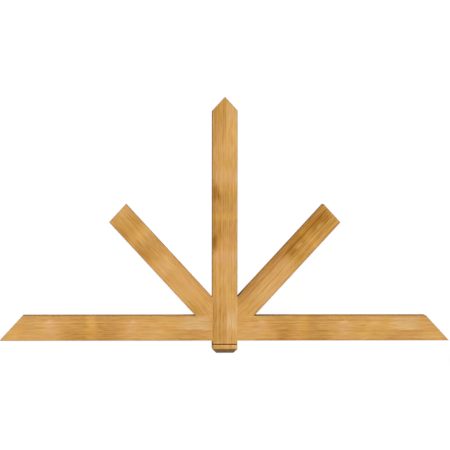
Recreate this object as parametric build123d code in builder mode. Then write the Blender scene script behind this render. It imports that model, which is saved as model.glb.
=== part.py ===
from build123d import *
import os

# Timber gable bracket, lying on its back: a king post lapped over a tie beam, and a brace in each corner between them.
# X runs along the tie beam, Y up the king post to the peak of the gable, and Z out from the wall.
# The origin is on the wall plane, where the centre lines of the post and the tie beam cross.
# Lengths are in millimetres.

INCH = 25.4

# The gable that the bracket fits
span = 72 * INCH  # tip to tip, along the underside of the tie beam
roof_rise = 13.0  # the roof climbs this much
roof_run = 12.0  # over this much, on both sides of the peak

# Planed timber: a face is seen from the front, and the depth runs out from the wall
post_face = 4 * INCH
tie_face = 4 * INCH
brace_face = 4 * INCH
timber_depth = 4 * INCH  # the same for all four, so that their fronts are flush
arris = 1.5  # radius of the eased long edges

# Lap joint where the post crosses the tie beam
lap_floor = 2 * INCH  # depth of the tie beam left behind the post
lap_clearance = 0.2  # at each shoulder of the lap

# Pendant end of the post, below the tie beam
pendant_drop = 2 * INCH
pendant_chamfer = 0.625 * INCH
kerf_below_tie = 0.5 * INCH
kerf_width = 0.1875 * INCH
kerf_depth = 0.375 * INCH

# Levels worked out from these sizes
tie_top = tie_face / 2
tie_underside = -tie_face / 2
peak = tie_underside + span / 2 * roof_rise / roof_run
post_foot = tie_underside - pendant_drop
kerf_middle = tie_underside - kerf_below_tie - kerf_width / 2
brace_blank = span / 2 + peak  # long enough to reach the roof at any pitch

LEFT, RIGHT = -1, 1


def roof_plane(side):
    """Underside of the roof on one side, with its normal away from the bracket."""
    tie_tip = (side * span / 2, tie_underside, 0)
    return Plane(origin=tie_tip, z_dir=(side * roof_rise, roof_run, 0))


def planed_section(face):
    """Section of a timber with eased edges, whose back lies on the wall plane."""
    with Locations((0, timber_depth / 2)):
        RectangleRounded(face, timber_depth, arris)


# King post: pointed head, pendant foot, and a housing in its back that the tie beam lies in
with BuildPart() as king_post:
    with BuildSketch(Plane.XZ.offset(-peak)):
        planed_section(post_face)
    extrude(amount=peak - post_foot)
    for side in (LEFT, RIGHT):
        split(bisect_by=roof_plane(side), keep=Keep.BOTTOM)

    # The foot is bevelled at its front and sides, and its back stays flush with the wall
    bevel_start = post_foot + pendant_chamfer
    split(bisect_by=Plane(origin=(0, bevel_start, timber_depth), z_dir=(0, -1, 1)), keep=Keep.BOTTOM)
    for side in (LEFT, RIGHT):
        bevel = Plane(origin=(side * post_face / 2, bevel_start, 0), z_dir=(side, -1, 0))
        split(bisect_by=bevel, keep=Keep.BOTTOM)

    # Saw kerf across the front face
    with BuildSketch(Plane.XY.offset(timber_depth)):
        with Locations((0, kerf_middle)):
            Rectangle(post_face, kerf_width)
    extrude(amount=-kerf_depth, mode=Mode.SUBTRACT)

    # Housing for the tie beam
    with BuildSketch(Plane.XY):
        Rectangle(post_face, tie_face + 2 * lap_clearance)
    extrude(amount=lap_floor, mode=Mode.SUBTRACT)

# Tie beam: both ends cut to the roof, and a notch in its front that the post lies in
with BuildPart() as tie_beam:
    with BuildSketch(Plane.YZ.offset(-span / 2)):
        planed_section(tie_face)
    extrude(amount=span)
    for side in (LEFT, RIGHT):
        split(bisect_by=roof_plane(side), keep=Keep.BOTTOM)
    with BuildSketch(Plane.XY.offset(lap_floor)):
        Rectangle(post_face + 2 * lap_clearance, tie_face)
    extrude(amount=timber_depth - lap_floor, mode=Mode.SUBTRACT)


def make_brace(side):
    """Brace that climbs at the roof's pitch from the corner of post and tie beam, and ends under the roof."""
    corner = (side * post_face / 2, tie_top, 0)
    across_brace = Plane(
        origin=corner,
        x_dir=(-roof_rise, side * roof_run, 0),
        z_dir=(side * roof_run, roof_rise, 0),
    )
    with BuildPart() as brace:
        with BuildSketch(across_brace):
            planed_section(brace_face)
        extrude(amount=brace_blank)
        split(bisect_by=roof_plane(side), keep=Keep.BOTTOM)
        split(bisect_by=Plane(origin=corner, z_dir=(side, 0, 0)), keep=Keep.TOP)
        split(bisect_by=Plane(origin=corner, z_dir=(0, 1, 0)), keep=Keep.TOP)
    return brace


pieces = {
    "king_post": king_post,
    "tie_beam": tie_beam,
    "left_brace": make_brace(LEFT),
    "right_brace": make_brace(RIGHT),
}

os.makedirs("parts", exist_ok=True)
for name, piece in pieces.items():
    piece.part.label = name
    export_step(piece.part, f"parts/{name}.step")
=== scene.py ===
import math

import bmesh
import bpy
from mathutils import Matrix, Vector


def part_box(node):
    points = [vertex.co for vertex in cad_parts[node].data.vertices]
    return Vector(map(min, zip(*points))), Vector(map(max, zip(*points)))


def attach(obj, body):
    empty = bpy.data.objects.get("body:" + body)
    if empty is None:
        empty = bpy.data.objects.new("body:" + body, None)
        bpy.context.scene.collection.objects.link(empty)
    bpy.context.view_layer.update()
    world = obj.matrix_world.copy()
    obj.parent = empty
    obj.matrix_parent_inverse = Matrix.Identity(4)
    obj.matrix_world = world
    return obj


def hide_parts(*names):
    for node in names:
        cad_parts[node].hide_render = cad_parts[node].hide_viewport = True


# Timber gable bracket, lying on its back: planed softwood with a clear golden finish, seen from above.
# Lengths are in metres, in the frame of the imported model: X runs along the tie beam, Y up the post, and
# Z out from the wall.

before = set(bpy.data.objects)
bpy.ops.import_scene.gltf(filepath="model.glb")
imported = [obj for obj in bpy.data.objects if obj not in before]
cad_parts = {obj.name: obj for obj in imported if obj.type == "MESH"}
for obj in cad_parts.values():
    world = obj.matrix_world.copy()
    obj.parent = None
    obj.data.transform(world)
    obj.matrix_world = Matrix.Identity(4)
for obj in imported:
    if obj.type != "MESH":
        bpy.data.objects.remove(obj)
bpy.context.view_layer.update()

MM = 0.001
LEFT, RIGHT = -1, 1

# Sizes read from the frame
tie_low, tie_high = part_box("tie_beam")
post_low, post_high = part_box("king_post")
tie_tip = tie_high.x
tie_underside, tie_top, timber_depth = tie_low.y, tie_high.y, tie_high.z
post_side, post_foot, peak = post_high.x, post_low.y, post_high.y
pitch = math.atan2(peak - tie_underside, tie_tip)
timber_face = tie_top - tie_underside

# Sizes inside the joints and at the foot of the post
lap_floor = 50.8 * MM
lap_clearance = 0.2 * MM
pendant_chamfer = 15.875 * MM
kerf_top = tie_underside - 12.7 * MM
kerf_width = 4.7625 * MM
kerf_depth = 9.525 * MM
kerf_foot = kerf_top - kerf_width
half_housing = timber_face / 2 + lap_clearance
half_notch = post_side + lap_clearance

# Where the long sides of the braces meet the post and the tie beam
brace_on_post = tie_top + timber_face / 2 / math.cos(pitch)
brace_on_tie = post_side + timber_face / 2 / math.sin(pitch)

# Radii of the eased edges
ARRIS = 1.5 * MM
END_EDGE = 0.7 * MM
KERF_EDGE = 0.25 * MM
ARRIS_SEGMENTS = 4

# How near two places count as the same, and how nearly parallel two directions are to count as one
SAME_PLACE = 0.01 * MM
PARALLEL = 0.9

# Camera
CAMERA_AT = (-0.38, 0.6, 10.50635)
CAMERA_AIM = (0.0, 0.4192, 0.1016)
CAMERA_ROLL = math.radians(0.052)
LENS_MM = 205.09
SENSOR_MM = 36.0

# Lamps: name, strength, how wide the lamp looks in degrees, and the direction that it stands in.
# The key is high on the peak's side and to the left, and the fill is weak, soft and below right.
LAMPS = [
    ("key", 2.05, 12, (-0.6, 1.25, 1.0)),
    ("front", 1.4, 20, (0.0, 0.0, 1.0)),
    ("fill", 0.8, 50, (0.5, -0.9, 0.5)),
]

# Surroundings: white to the camera, and dim to the light that falls on the timbers
WHITE = (1.0, 1.0, 1.0, 1.0)
AMBIENT_STRENGTH = 0.05
BACKDROP_STRENGTH = 1.0
FLOOR_REACH = 60.0
FLOOR_LEVEL = -0.1 * MM  # just under the backs of the timbers, so that no two faces share a plane
FLOOR_TONE = (0.9, 0.9, 0.9, 1.0)
FLOOR_UNSEEN_TONE = (0.02, 0.02, 0.02, 1.0)
FLOOR_GLOW = 1.08
FLOOR_GLOW_SHARE = 0.86


def srgb(red, green, blue):
    """Linear colour from 8-bit sRGB values."""
    def linear(value):
        share = value / 255
        return share / 12.92 if share <= 0.04045 else ((share + 0.055) / 1.055) ** 2.4
    return (linear(red), linear(green), linear(blue), 1.0)


# Tones of the finished softwood, from dark knots to pale earlywood
WOOD_TONES = [
    (0.0, srgb(150, 98, 32)),
    (0.25, srgb(184, 132, 60)),
    (0.5, srgb(211, 160, 90)),
    (0.7, srgb(226, 177, 109)),
    (1.0, srgb(246, 206, 148)),
]

# Size of the grain's marks along, across and through the timber
SHADE_SIZE = (0.11, 0.16, 0.16)
STRIPE_SIZE = (2.5, 0.006, 0.006)
STREAK_SIZE = (0.05, 0.007, 0.007)
FIBRE_SIZE = (0.04, 0.0028, 0.0028)
HUE_SIZE = (0.14, 0.018, 0.018)
RICHNESS_SIZE = (0.06, 0.07, 0.07)

# How far they change the tone, the hue and the saturation. The long stripes differ from timber to timber.
SHADE_TONE = 0.15
STREAK_TONE = 0.35
FIBRE_TONE = 0.4
LATEWOOD_TONE = -0.12
HUE_CHANGE = 0.030
RICHNESS_CHANGE = 0.12

MEAN_TONE = 0.535
MEAN_HUE = 0.499
STRIPE_ROUGHNESS = 0.6
NOISE_STEP = (3.7, 5.3, 7.1)  # from one timber's stretch of the noise to the next

# Growth rings: their width, the size and depth of their waves, and how much they widen along the log
RING_WIDTH = 3.4 * MM
RING_WAVES = [((0.55, 0.09, 0.09), 14 * MM), ((0.12, 0.03, 0.03), 3 * MM)]
RING_TAPER = 0.006

# The latewood darkens and ends between these shares of a ring's width. Some rings are stronger than others.
LATEWOOD_DARKENS = (0.25, 0.88)
LATEWOOD_ENDS = (0.9, 1.0)
WEAKEST_RING = 0.3
RING_VARIETY = 0.8

# What a patch of each kind changes at its middle: tone, hue and saturation
FIGURE = {
    "brown": (-0.30, -0.001, 0.0),
    "light": (0.10, 0.0, 0.0),
    "pink": (0.07, -0.004, -0.05),
    "gold": (0.10, 0.001, 0.03),
    "grey": (0.08, 0.003, -0.09),
    "pale": (0.30, 0.0, -0.06),
}

# A patch fades between these shares of its half length and half width, and streaks shift its rim
PATCH_FADE_ALONG = (0.3, 1.7)
PATCH_FADE_ACROSS = (0.75, 1.25)
RAGGED_ALONG = 40 * MM
RAGGED_ACROSS = 6 * MM
RAGGED_RIM = 4 * MM

# Cut ends: how squarely a face has to meet the grain, and the tones laid over the wood's own, darker partly
# as end grain and partly as painted shade
END_FACING = (0.35, 0.65)
END_TINT = srgb(206, 210, 222)
END_TONE = srgb(134, 122, 104)
END_SHARE = 0.35
END_RING_TONE = srgb(84, 62, 38)
END_RING_SHARE = 0.6

# Eased edges, darker partly as painted shade of the rounded edges and partly as rubbed wear: tone, share,
# the distances over which it fades, and the same beside a joint
ARRIS_TONE = srgb(160, 122, 78)
ARRIS_SHARE = 0.6
ARRIS_FADE = (0.5 * MM, 5 * MM)
JOINT_FADE = 4 * MM

# Rims of the cuts under the roof: tone, share, and where it starts and is full, in from the roof
RIM_TONE = srgb(165, 150, 130)
RIM_SHARE = 0.4
RIM_START = 5 * MM
RIM_FULL = 1 * MM

# Painted shade inside the kerf: tone, and where it starts and is full, in from the front
KERF_SHADE_TONE = srgb(150, 90, 8)
KERF_START = 0.5 * MM
KERF_FULL = 2 * MM

# Finish: a low sheen, duller in the fibres and on cut ends
SPECULAR = 0.01
ROUGHNESS = 0.75
FIBRE_ROUGHNESS = 0.3
END_ROUGHNESS = 0.15

# Fine relief of the surface
FIBRE_RELIEF = 0.6
STREAK_RELIEF = 0.5
RING_RELIEF = 0.4
RELIEF_STRENGTH = 0.35
RELIEF_DEPTH = 0.4 * MM


# Camera and light


def make_camera():
    data = bpy.data.cameras.new("camera")
    data.sensor_width = SENSOR_MM
    data.lens = LENS_MM
    camera = bpy.data.objects.new("camera", data)
    camera.location = CAMERA_AT
    back = (Vector(CAMERA_AT) - Vector(CAMERA_AIM)).normalized()
    right = Vector((0, 1, 0)).cross(back).normalized()
    level = Matrix((right, back.cross(right), back)).transposed()
    turn = level @ Matrix.Rotation(CAMERA_ROLL, 3, "Z")
    camera.rotation_mode = "QUATERNION"
    camera.rotation_quaternion = turn.to_quaternion()
    bpy.context.collection.objects.link(camera)
    bpy.context.scene.camera = camera


def make_lamps():
    """Far lamps. A lamp that looks wide has soft shadows."""
    for name, strength, spread, towards in LAMPS:
        data = bpy.data.lights.new(name, "SUN")
        data.energy = strength
        data.angle = math.radians(spread)
        lamp = bpy.data.objects.new(name, data)
        lamp.rotation_mode = "QUATERNION"
        lamp.rotation_quaternion = Vector(towards).to_track_quat("Z", "Y")
        bpy.context.collection.objects.link(lamp)


class Graph:
    """A node tree built from short calls. An input is a number, a vector or another node's socket."""

    def __init__(self, owner):
        owner.use_nodes = True
        self.tree = owner.node_tree
        self.tree.nodes.clear()

    def node(self, kind, inputs, **settings):
        made = self.tree.nodes.new("ShaderNode" + kind)
        for name, value in settings.items():
            setattr(made, name, value)
        for key, value in inputs.items():
            if isinstance(value, bpy.types.NodeSocket):
                self.tree.links.new(value, made.inputs[key])
            else:
                made.inputs[key].default_value = value
        return made

    def math(self, operation, a, b=0.0, c=0.0):
        return self.node("Math", {0: a, 1: b, 2: c}, operation=operation).outputs[0]

    def vector(self, operation, a, b=(0, 0, 0), c=(0, 0, 0)):
        return self.node("VectorMath", {0: a, 1: b, 2: c}, operation=operation).outputs["Vector"]

    def times(self, a, b):
        return self.math("MULTIPLY", a, b)

    def add(self, *terms):
        total = terms[0]
        for term in terms[1:]:
            total = self.math("ADD", total, term)
        return total

    def away(self, value, middle):
        """How far a value is from a middle one, on either side."""
        return self.math("ABSOLUTE", self.math("SUBTRACT", value, middle))

    def axes(self, vector):
        return self.node("SeparateXYZ", {0: vector}).outputs

    def smooth(self, value, low, high, to_low=0.0, to_high=1.0):
        """Smooth step from to_low to to_high, as value goes from low to high."""
        inputs = {"Value": value, "From Min": low, "From Max": high, "To Min": to_low, "To Max": to_high}
        return self.node("MapRange", inputs, interpolation_type="SMOOTHSTEP").outputs["Result"]

    def noise(self, point, size, offset, detail=2.0, roughness=0.5):
        """Noise centred on zero, about -0.5 to 0.5. Its marks have a size along each axis."""
        vector = self.vector("MULTIPLY_ADD", point, [1 / s for s in size], offset)
        inputs = {"Vector": vector, "Scale": 1.0, "Detail": detail, "Roughness": roughness}
        return self.math("SUBTRACT", self.node("TexNoise", inputs).outputs["Fac"], 0.5)

    def mix(self, share, a, b, blend="MIX"):
        """Mix of two colours."""
        return self.node("Mix", {0: share, 6: a, 7: b}, data_type="RGBA", blend_type=blend).outputs[2]

    def mix_shaders(self, share, a, b):
        return self.node("MixShader", {0: share, 1: a, 2: b}).outputs[0]

    def ramp(self, value, stops):
        node = self.node("ValToRGB", {"Fac": value})
        elements = node.color_ramp.elements
        while len(elements) < len(stops):
            elements.new(1.0)
        for element, (position, colour) in zip(elements, stops):
            element.position = position
            element.color = colour
        return node.outputs["Color"]

    def seen(self):
        """1 for what the camera sees, itself, in gloss or through glass, and 0 for light that bounces."""
        path = self.node("LightPath", {}).outputs
        direct = self.math("MAXIMUM", path["Is Camera Ray"], path["Is Glossy Ray"])
        return self.math("MAXIMUM", direct, path["Is Transmission Ray"])


def make_world():
    """Plain white to the camera, and an even soft light on the timbers."""
    world = bpy.data.worlds.new("studio")
    bpy.context.scene.world = world
    graph = Graph(world)
    strength = graph.smooth(graph.seen(), 0.0, 1.0, AMBIENT_STRENGTH, BACKDROP_STRENGTH)
    background = graph.node("Background", {"Color": WHITE, "Strength": strength})
    graph.node("OutputWorld", {"Surface": background.outputs[0]})


def make_floor():
    """Pale floor under the bracket's back. It keeps the shadow, and is white where it is open."""
    mesh = bpy.data.meshes.new("floor")
    square = ((-1, -1), (1, -1), (1, 1), (-1, 1))
    corners = [(x * FLOOR_REACH, y * FLOOR_REACH, FLOOR_LEVEL) for x, y in square]
    mesh.from_pydata(corners, [], [(0, 1, 2, 3)])
    floor = bpy.data.objects.new("floor", mesh)
    bpy.context.collection.objects.link(floor)
    material = bpy.data.materials.new("floor")
    graph = Graph(material)
    pale = graph.node("BsdfDiffuse", {"Color": FLOOR_TONE}).outputs[0]
    glow = graph.node("Emission", {"Color": WHITE, "Strength": FLOOR_GLOW}).outputs[0]
    dull = graph.node("BsdfDiffuse", {"Color": FLOOR_UNSEEN_TONE}).outputs[0]
    surface = graph.mix_shaders(graph.seen(), dull, graph.mix_shaders(FLOOR_GLOW_SHARE, pale, glow))
    graph.node("OutputMaterial", {"Surface": surface})
    mesh.materials.append(material)


# Shapes


def prism(outline, sweep):
    """New solid: a flat outline of points, swept along a vector."""
    bm = bmesh.new()
    ends = []
    for offset in (Vector((0, 0, 0)), Vector(sweep)):
        ends.append([bm.verts.new(Vector(point) + offset) for point in outline])
    near_end, far_end = ends
    bm.faces.new(near_end)
    bm.faces.new(list(reversed(far_end)))
    for i in range(len(outline)):
        j = (i + 1) % len(outline)
        bm.faces.new([near_end[j], near_end[i], far_end[i], far_end[j]])
    bmesh.ops.recalc_face_normals(bm, faces=bm.faces[:])
    return bm


def saw(bm, point, away):
    """Cuts a solid with a plane, and drops what lies on the side that away points to."""
    geometry = bm.verts[:] + bm.edges[:] + bm.faces[:]
    cut = bmesh.ops.bisect_plane(bm, geom=geometry, plane_co=point, plane_no=away, clear_outer=True)
    edges = [item for item in cut["geom_cut"] if isinstance(item, bmesh.types.BMEdge)]
    bmesh.ops.holes_fill(bm, edges=edges)


def score(bm, point, across):
    """Divides faces and edges along a plane, and leaves the shape as it is."""
    geometry = bm.verts[:] + bm.edges[:] + bm.faces[:]
    bmesh.ops.bisect_plane(bm, geom=geometry, plane_co=point, plane_no=across)


def roof_normal(side):
    """Outward normal of the underside of the roof."""
    return Vector((side * math.sin(pitch), math.cos(pitch), 0))


def brace_direction(side):
    """Which way a brace climbs from its corner."""
    return Vector((side * math.cos(pitch), math.sin(pitch), 0))


def saw_to_roof(bm, side):
    saw(bm, Vector((side * tie_tip, tie_underside, 0)), roof_normal(side))


def king_post_shape():
    """The side of the post, swept across its face and then sawn at the head and the foot."""
    side_view = [
        (post_foot, 0),
        (-half_housing, 0),
        (-half_housing, lap_floor),
        (half_housing, lap_floor),
        (half_housing, 0),
        (peak, 0),
        (peak, timber_depth),
        (kerf_top, timber_depth),
        (kerf_top, timber_depth - kerf_depth),
        (kerf_foot, timber_depth - kerf_depth),
        (kerf_foot, timber_depth),
        (post_foot + pendant_chamfer, timber_depth),
        (post_foot, timber_depth - pendant_chamfer),
    ]
    bm = prism([(-post_side, y, z) for y, z in side_view], (2 * post_side, 0, 0))
    for side in (LEFT, RIGHT):
        saw_to_roof(bm, side)
        saw(bm, Vector((side * post_side, post_foot + pendant_chamfer, 0)), Vector((side, -1, 0)))
    for joint_end in (-half_housing, brace_on_post):
        score(bm, Vector((0, joint_end, 0)), Vector((0, 1, 0)))
    return bm


def tie_beam_shape():
    """The beam seen from its top edge, swept across its face and then sawn at both ends."""
    plan = [
        (-tie_tip, 0),
        (tie_tip, 0),
        (tie_tip, timber_depth),
        (half_notch, timber_depth),
        (half_notch, lap_floor),
        (-half_notch, lap_floor),
        (-half_notch, timber_depth),
        (-tie_tip, timber_depth),
    ]
    bm = prism([(x, tie_underside, z) for x, z in plan], (0, timber_face, 0))
    for side in (LEFT, RIGHT):
        saw_to_roof(bm, side)
        for joint_end in (half_notch, brace_on_tie):
            score(bm, Vector((side * joint_end, 0, 0)), Vector((1, 0, 0)))
    return bm


def brace_shape(side):
    """A brace seen from the front, swept through its depth and sawn to the roof, the post and the beam."""
    corner = Vector((side * post_side, tie_top, 0))
    along = brace_direction(side)
    across = Vector((-along.y, along.x, 0)) * timber_face / 2
    end = corner + along * tie_tip
    bm = prism([corner - across, end - across, end + across, corner + across], (0, 0, timber_depth))
    saw_to_roof(bm, side)
    saw(bm, corner, Vector((-side, 0, 0)))
    saw(bm, corner, Vector((0, -1, 0)))
    return bm


def ease_edges(bm, radius_of):
    """Weighs each edge for the bevel. radius_of gives the radius of an edge from its two ends."""
    weight = bm.edges.layers.float.new("bevel_weight_edge")
    for edge in bm.edges:
        a, b = (vert.co for vert in edge.verts)
        radius = radius_of(a, b)
        edge[weight] = radius / ARRIS
        edge.smooth = radius > 0


def both(a, b, test):
    return test(a) and test(b)


def near(value, target):
    return abs(value - target) < SAME_PLACE


def within(value, low, high):
    return low - SAME_PLACE < value < high + SAME_PLACE


def post_radius(a, b):
    """Sharp where the post meets the other timbers, barely eased at the kerf, and eased elsewhere."""
    if both(a, b, lambda p: within(p.y, -half_housing, brace_on_post)):
        return 0.0
    if both(a, b, lambda p: near(p.y, kerf_top) or near(p.y, kerf_foot)):
        inside = both(a, b, lambda p: near(p.z, timber_depth - kerf_depth))
        return 0.0 if inside else KERF_EDGE
    return ARRIS if near(a.x, b.x) and near(a.z, b.z) else END_EDGE


def tie_radius(a, b):
    """Sharp where the tie beam meets the post and the braces, and eased elsewhere."""
    if both(a, b, lambda p: within(abs(p.x), 0.0, half_notch)):
        return 0.0
    if both(a, b, lambda p: near(p.y, tie_top) and within(abs(p.x), 0.0, brace_on_tie)):
        return 0.0
    if near(a.x, b.x) and near(abs(a.x), brace_on_tie):
        return 0.0
    return ARRIS if near(a.y, b.y) and near(a.z, b.z) else END_EDGE


def brace_radius(side):
    """Sharp where the brace meets the post and the tie beam, and eased elsewhere."""
    def radius(a, b):
        if both(a, b, lambda p: near(p.x, side * post_side)) or both(a, b, lambda p: near(p.y, tie_top)):
            return 0.0
        is_long = abs((b - a).normalized().dot(brace_direction(side))) > PARALLEL
        return ARRIS if is_long else END_EDGE
    return radius


def add_timber(name, bm, radius_of, material):
    """Makes the finished piece in place of the model's own node of that name."""
    ease_edges(bm, radius_of)
    mesh = bpy.data.meshes.new(name + "_dressed")
    bm.to_mesh(mesh)
    bm.free()
    piece = bpy.data.objects.new(name + "_dressed", mesh)
    bpy.context.collection.objects.link(piece)
    bevel = piece.modifiers.new("eased_edges", "BEVEL")
    bevel.limit_method = "WEIGHT"
    bevel.width = ARRIS
    bevel.segments = ARRIS_SEGMENTS
    bevel.harden_normals = True
    for polygon in mesh.polygons:
        polygon.use_smooth = True
    mesh.materials.append(material)
    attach(piece, "root")
    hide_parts(name)


# Wood


class Grain:
    """Places on a timber and the marks of its grain, as sockets that the rest of its material uses."""

    def __init__(self, graph, origin, angle, heart, seed):
        self.graph = graph
        self.seed = seed
        self.direction = (math.cos(angle), math.sin(angle), 0.0)
        coordinates = graph.node("TexCoord", {}).outputs
        self.normal = coordinates["Normal"]
        place = graph.axes(coordinates["Object"])
        self.x, self.y, self.out = place["X"], place["Y"], place["Z"]

        # The timber's own axes: along the grain, across the face, and out from the wall
        inputs = {"Vector": coordinates["Object"], "Location": origin, "Rotation": (0, 0, angle)}
        self.local = graph.node("Mapping", inputs, vector_type="TEXTURE").outputs["Vector"]
        axes = graph.axes(self.local)
        self.along, self.across, self.outward = axes["X"], axes["Y"], axes["Z"]

        self.offset = [seed * step for step in NOISE_STEP]
        self.latewood = self.growth_rings(heart)
        self.shade = graph.noise(self.local, SHADE_SIZE, self.offset)
        self.stripe = graph.noise(self.local, STRIPE_SIZE, self.offset, roughness=STRIPE_ROUGHNESS)
        self.streak = graph.noise(self.local, STREAK_SIZE, self.offset, detail=3.0)
        self.fibre = graph.noise(self.local, FIBRE_SIZE, self.offset)

    def growth_rings(self, heart):
        """Latewood of the growth rings round the heart of the log, from 0 to about 1."""
        graph = self.graph
        from_heart_across = graph.math("SUBTRACT", self.across, heart[0])
        from_heart_out = graph.math("SUBTRACT", self.outward, heart[1])
        square = graph.add(
            graph.times(from_heart_across, from_heart_across),
            graph.times(from_heart_out, from_heart_out),
        )
        radius = graph.math("SQRT", square)
        for size, depth in RING_WAVES:
            wave = graph.noise(self.local, size, self.offset, detail=1.0)
            radius = graph.add(radius, graph.times(wave, depth))
        radius = graph.add(radius, graph.times(self.along, RING_TAPER))
        ring_number = graph.math("DIVIDE", radius, RING_WIDTH)
        in_ring = graph.math("FRACT", ring_number)
        darkening = graph.smooth(in_ring, *LATEWOOD_DARKENS)
        ending = graph.smooth(in_ring, *LATEWOOD_ENDS, 1.0, 0.0)
        whole_ring = graph.math("FLOOR", ring_number)
        variety = graph.node("TexWhiteNoise", {"W": whole_ring}, noise_dimensions="1D").outputs["Value"]
        strength = graph.math("MULTIPLY_ADD", variety, RING_VARIETY, WEAKEST_RING)
        return graph.times(graph.times(darkening, ending), strength)


def figure_masks(graph, point, patches):
    """How strongly each kind of patch shows at a point. It fades slowly along the grain, and fast across."""
    masks = {}
    for kind, along, across, half_length, half_width, strength in patches:
        scale = (1 / half_length, 1 / half_width, 0)
        from_middle = graph.vector("MULTIPLY_ADD", point, scale, (-along * scale[0], -across * scale[1], 0))
        sides = graph.axes(graph.vector("ABSOLUTE", from_middle))
        shown_along = graph.smooth(sides["X"], *PATCH_FADE_ALONG, strength, 0.0)
        shown_across = graph.smooth(sides["Y"], *PATCH_FADE_ACROSS, 1.0, 0.0)
        shown = graph.times(shown_along, shown_across)
        masks[kind] = graph.add(masks[kind], shown) if kind in masks else shown
    return masks


def face_colour(graph, grain, stripes, patches):
    """Broad shading, long stripes, short streaks, fine fibres and rings, and patches with ragged rims."""
    tone = graph.add(
        MEAN_TONE,
        graph.times(grain.shade, SHADE_TONE),
        graph.times(grain.stripe, stripes),
        graph.times(grain.streak, STREAK_TONE),
        graph.times(grain.fibre, FIBRE_TONE),
        graph.times(grain.latewood, LATEWOOD_TONE),
    )

    # The hue and the saturation have their own stretches of the noise
    hue_noise = graph.noise(grain.local, HUE_SIZE, (grain.seed, 0, 9))
    hue = graph.add(MEAN_HUE, graph.times(hue_noise, HUE_CHANGE))
    richness_noise = graph.noise(grain.local, RICHNESS_SIZE, (9, grain.seed, 0))
    richness = graph.add(1.0, graph.times(richness_noise, RICHNESS_CHANGE))

    shift = {0: graph.times(grain.streak, RAGGED_ALONG), 1: graph.times(grain.streak, RAGGED_ACROSS)}
    point = graph.vector("ADD", grain.local, graph.node("CombineXYZ", shift).outputs[0])
    for kind, mask in figure_masks(graph, point, patches).items():
        tone_change, hue_change, richness_change = FIGURE[kind]
        tone = graph.math("MULTIPLY_ADD", mask, tone_change, tone)
        hue = graph.math("MULTIPLY_ADD", mask, hue_change, hue)
        richness = graph.math("MULTIPLY_ADD", mask, richness_change, richness)
    inputs = {"Hue": hue, "Saturation": richness, "Color": graph.ramp(tone, WOOD_TONES)}
    return graph.node("HueSaturation", inputs).outputs["Color"]


def cut_ends(graph, grain, colour):
    """Cut ends are darker and greyer, as open fibres drink the finish, and they show the growth rings. Part
    of the darkening is painted shade, as on the downward chamfers at the post's foot.
    """
    facing = graph.node("VectorMath", {0: grain.normal, 1: grain.direction}, operation="DOT_PRODUCT")
    end_grain = graph.smooth(graph.math("ABSOLUTE", facing.outputs["Value"]), *END_FACING)
    end_colour = graph.mix(1.0, colour, END_TINT, blend="MULTIPLY")
    end_colour = graph.mix(END_SHARE, end_colour, END_TONE)
    end_colour = graph.mix(graph.times(grain.latewood, END_RING_SHARE), end_colour, END_RING_TONE)
    return graph.mix(end_grain, colour, end_colour), end_grain


def eased_edges(graph, grain, joint, colour):
    """Eased edges are a shade darker and greyer: partly painted shade of the rounded edges, and partly
    rubbed by sanding and handling. There are none along a joint.
    """
    to_side = graph.math("SUBTRACT", timber_face / 2, graph.math("ABSOLUTE", grain.across))
    to_face = graph.math("SUBTRACT", timber_depth / 2, graph.away(grain.out, timber_depth / 2))
    from_arris = graph.add(to_side, to_face, graph.times(grain.streak, RAGGED_RIM))
    # Darker edges: painted shade of the rounded edges, together with rubbed wear
    edge_shade_and_wear = graph.smooth(from_arris, *ARRIS_FADE, ARRIS_SHARE, 0.0)
    joint_start, joint_end = joint
    before_joint = graph.smooth(grain.along, joint_start, joint_start - JOINT_FADE)
    after_joint = graph.smooth(grain.along, joint_end, joint_end + JOINT_FADE)
    edge_shade_and_wear = graph.times(edge_shade_and_wear, graph.math("MAXIMUM", before_joint, after_joint))
    return graph.mix(edge_shade_and_wear, colour, ARRIS_TONE)


def rim_under_roof(graph, grain, colour):
    """Beside the cuts under the roof the finish is a little greyer."""
    towards_roof = graph.add(
        graph.times(graph.math("ABSOLUTE", grain.x), math.sin(pitch)),
        graph.times(grain.y, math.cos(pitch)),
        graph.times(grain.streak, RAGGED_RIM),
    )
    roof = tie_tip * math.sin(pitch) + tie_underside * math.cos(pitch)
    rim = graph.smooth(towards_roof, roof - RIM_START, roof - RIM_FULL, 0.0, RIM_SHARE)
    return graph.mix(rim, colour, RIM_TONE)


def paint_kerf_shade(graph, grain, colour):
    """Paints the shade inside the saw kerf: a dark warm brown, where the groove lies in shadow."""
    below_top = graph.smooth(grain.along, kerf_top, kerf_top - KERF_EDGE)
    above_foot = graph.smooth(grain.along, kerf_foot, kerf_foot + KERF_EDGE)
    inside = graph.smooth(grain.out, timber_depth - KERF_START, timber_depth - KERF_FULL)
    kerf_shade = graph.times(graph.times(below_top, above_foot), inside)
    return graph.mix(kerf_shade, colour, KERF_SHADE_TONE)


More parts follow.
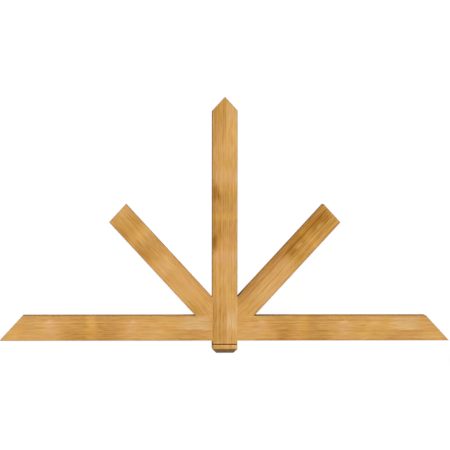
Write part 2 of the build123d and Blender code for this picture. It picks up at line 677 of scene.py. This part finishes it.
def wood(name, origin, angle, joint, heart, seed, stripes, patches, kerf=False):
    """Planed softwood, sawn from a log whose heart runs at (across, out) in the timber's own axes.

    joint is the stretch along the timber where its edges meet other timbers. The seed gives each timber its
    own noise, stripes is the strength of the long stripes, and patches are the figure.
    """
    material = bpy.data.materials.new(name)
    graph = Graph(material)
    grain = Grain(graph, origin, angle, heart, seed)
    colour = face_colour(graph, grain, stripes, patches)
    colour, end_grain = cut_ends(graph, grain, colour)
    colour = eased_edges(graph, grain, joint, colour)
    colour = rim_under_roof(graph, grain, colour)
    # The kerf's inside gets painted shade
    if kerf:
        colour = paint_kerf_shade(graph, grain, colour)
    roughness = graph.add(
        ROUGHNESS,
        graph.times(grain.fibre, FIBRE_ROUGHNESS),
        graph.times(end_grain, END_ROUGHNESS),
    )
    height = graph.add(
        graph.times(grain.fibre, FIBRE_RELIEF),
        graph.times(grain.streak, STREAK_RELIEF),
        graph.times(grain.latewood, RING_RELIEF),
    )
    relief = graph.node("Bump", {"Height": height, "Strength": RELIEF_STRENGTH, "Distance": RELIEF_DEPTH})
    inputs = {
        "Base Color": colour,
        "Roughness": roughness,
        "Normal": relief.outputs[0],
        "Specular IOR Level": SPECULAR,
    }
    shader = graph.node("BsdfPrincipled", inputs)
    graph.node("OutputMaterial", {"Surface": shader.outputs[0]})
    return material


# Where each timber's grain is measured from, and which way it runs. The post's is measured from the wall,
# and the others' from a little in front of it.
grain_back = 6.35 * MM
post_grain = ((0, 0, 0), math.radians(90))
tie_grain = ((0, 0, grain_back), 0.0)
left_grain = ((-post_side, tie_top, grain_back), math.pi - pitch)
right_grain = ((post_side, tie_top, grain_back), pitch)

# The stretch of each timber where its edges aren't eased, from and to along its grain
post_joint = (-half_housing, brace_on_post)
tie_joint = (-brace_on_tie, brace_on_tie)
brace_joint = (0.0, 0.0)

# Patches of figure: kind, place along and across the timber, half length, half width and strength
post_patches = [
    # The two pale bands beside the kerf are painted highlights, where its lips catch the light
    ("pale", kerf_top + 2 * MM, 0.000, 0.003, 0.2, 0.3),
    ("pale", kerf_foot - 1 * MM, 0.000, 0.002, 0.2, 0.9),
    ("brown", 0.452, 0.015, 0.120, 0.045, 0.40),
    ("brown", 0.452, -0.040, 0.115, 0.012, 0.12),
    ("brown", 0.452, 0.038, 0.110, 0.014, 0.22),
    ("brown", 0.548, 0.038, 0.026, 0.016, 0.80),
    ("brown", 0.345, 0.042, 0.030, 0.012, 0.90),
    ("brown", 0.525, 0.008, 0.022, 0.020, 0.30),
    ("brown", 0.384, 0.018, 0.022, 0.014, 0.20),
    ("brown", 0.760, 0.037, 0.060, 0.006, 0.10),
    ("brown", 0.880, 0.020, 0.080, 0.027, 0.42),
    ("brown", 0.030, 0.047, 0.060, 0.002, 0.40),
    ("brown", 0.010, 0.020, 0.110, 0.030, 0.42),
    ("gold", 0.452, 0.000, 0.014, 0.060, 1.0),
    ("gold", 0.760, -0.022, 0.060, 0.024, 0.5),
    ("light", 0.790, -0.030, 0.110, 0.022, 0.7),
    ("light", 0.040, -0.030, 0.120, 0.022, 0.9),
    ("light", 0.037, 0.015, 0.020, 0.010, 0.7),
    ("light", 0.250, -0.030, 0.060, 0.018, 0.2),
    ("light", 0.605, -0.034, 0.034, 0.018, 1.0),
    ("light", 0.380, -0.020, 0.060, 0.010, 0.6),
    ("light", 0.190, -0.010, 0.025, 0.040, 0.5),
    ("pink", 0.615, -0.008, 0.026, 0.050, 0.9),
    ("pink", 0.290, -0.008, 0.026, 0.050, 0.9),
    ("grey", 0.878, -0.026, 0.035, 0.022, 0.6),
    ("grey", 0.029, -0.026, 0.030, 0.018, 0.9),
]

left_patches = [
    ("brown", 0.370, 0.000, 0.042, 0.060, 0.42),
    ("brown", 0.365, 0.036, 0.030, 0.014, 0.25),
    ("brown", 0.500, 0.000, 0.036, 0.060, 0.34),
    ("brown", 0.495, -0.024, 0.040, 0.016, 0.25),
    ("brown", 0.390, -0.012, 0.080, 0.008, 0.20),
    ("brown", 0.470, 0.040, 0.070, 0.010, 0.25),
    ("brown", 0.070, 0.036, 0.035, 0.014, 0.35),
    ("light", 0.150, 0.000, 0.060, 0.040, 0.5),
    ("light", 0.350, 0.000, 0.016, 0.050, 0.4),
    ("light", 0.510, 0.016, 0.025, 0.008, 0.8),
    ("light", 0.420, -0.036, 0.100, 0.012, 0.4),
    ("gold", 0.437, 0.000, 0.015, 0.060, 0.6),
    ("pink", 0.280, 0.000, 0.028, 0.030, 0.8),
    ("pale", 0.425, -0.003, 0.080, 0.002, 0.4),
    ("pale", 0.490, -0.010, 0.060, 0.002, 0.4),
    ("pale", 0.340, -0.016, 0.060, 0.002, 0.3),
]

right_patches = [
    ("brown", 0.280, 0.037, 0.350, 0.014, 0.55),
    ("brown", 0.180, 0.000, 0.140, 0.060, 0.12),
    ("brown", 0.170, 0.030, 0.120, 0.016, 0.12),
    ("brown", 0.445, 0.000, 0.125, 0.060, 0.38),
    ("brown", 0.352, -0.026, 0.018, 0.014, 0.30),
    ("brown", 0.445, 0.036, 0.125, 0.012, 0.10),
    ("brown", 0.445, 0.016, 0.125, 0.012, 0.60),
    ("brown", 0.445, 0.000, 0.125, 0.007, 0.25),
    ("brown", 0.160, 0.016, 0.120, 0.010, 0.25),
    ("brown", 0.342, 0.014, 0.020, 0.020, 0.45),
    ("brown", 0.490, 0.020, 0.025, 0.018, 0.30),
    ("brown", 0.535, 0.010, 0.024, 0.022, 0.50),
    ("light", 0.190, -0.030, 0.150, 0.020, 0.8),
    ("light", 0.440, -0.038, 0.080, 0.012, 0.5),
    ("pink", 0.180, -0.005, 0.090, 0.045, 0.5),
    ("gold", 0.431, -0.005, 0.015, 0.060, 0.9),
    ("pink", 0.275, 0.000, 0.028, 0.030, 0.6),
    ("pale", 0.378, 0.008, 0.014, 0.003, 0.9),
    ("pale", 0.495, 0.005, 0.014, 0.003, 0.9),
]

# The beam's figure comes twice, once in each half
tie_patches = [
    ("gold", -0.860, 0.000, 0.030, 0.050, 0.8),
    ("light", 0.275, 0.000, 0.030, 0.060, 0.7),
]
for middle in (-0.543, 0.319):
    tie_patches += [
        ("brown", middle, 0.000, 0.108, 0.060, 0.42),
        ("brown", middle, -0.030, 0.100, 0.024, 0.15),
        ("gold", middle, 0.010, 0.018, 0.060, 1.0),
        ("light", middle, 0.030, 0.020, 0.030, 0.6),
        ("gold", middle + 0.320, 0.010, 0.050, 0.030, 0.4),
        ("grey", middle + 0.425, 0.018, 0.048, 0.025, 1.0),
        ("brown", middle + 0.395, -0.029, 0.085, 0.022, 0.38),
        ("light", middle, 0.020, 0.100, 0.009, 0.5),
        ("light", middle + 0.240, 0.019, 0.100, 0.009, 0.7),
        ("light", middle - 0.200, 0.019, 0.070, 0.009, 0.7),
        ("pale", middle, 0.025, 0.150, 0.002, 0.3),
        ("brown", middle, 0.020, 0.120, 0.002, 0.3),
    ]
    for side in (LEFT, RIGHT):
        tie_patches += [
            ("brown", middle + side * 0.082, -0.028, 0.026, 0.024, 0.26),
            ("pink", middle + side * 0.165, 0.004, 0.026, 0.026, 0.8),
            ("pale", middle + side * 0.170, 0.027, 0.010, 0.006, 0.4),
        ]

# The heart of each log, across and out from where the timber's grain is measured
post_heart = (0.16, -0.07)
tie_heart = (-0.2, -0.05)
brace_heart_across, brace_heart_out = 0.15, -0.1

make_camera()
make_lamps()
make_world()
make_floor()

post_wood = wood(
    "king_post_wood", *post_grain, post_joint, post_heart, seed=1, stripes=0.7, patches=post_patches,
    kerf=True,
)
add_timber("king_post", king_post_shape(), post_radius, post_wood)

tie_wood = wood("tie_beam_wood", *tie_grain, tie_joint, tie_heart, seed=2, stripes=0.5, patches=tie_patches)
add_timber("tie_beam", tie_beam_shape(), tie_radius, tie_wood)

for name, side, grain, seed, stripes, patches in (
    ("left_brace", LEFT, left_grain, 3, 0.3, left_patches),
    ("right_brace", RIGHT, right_grain, 4, 0.7, right_patches),
):
    heart = (side * brace_heart_across, brace_heart_out)
    brace_wood = wood(name + "_wood", *grain, brace_joint, heart, seed, stripes, patches)
    add_timber(name, brace_shape(side), brace_radius(side), brace_wood)

bpy.context.scene.view_settings.view_transform = "Standard"

bpy.context.view_layer.update()
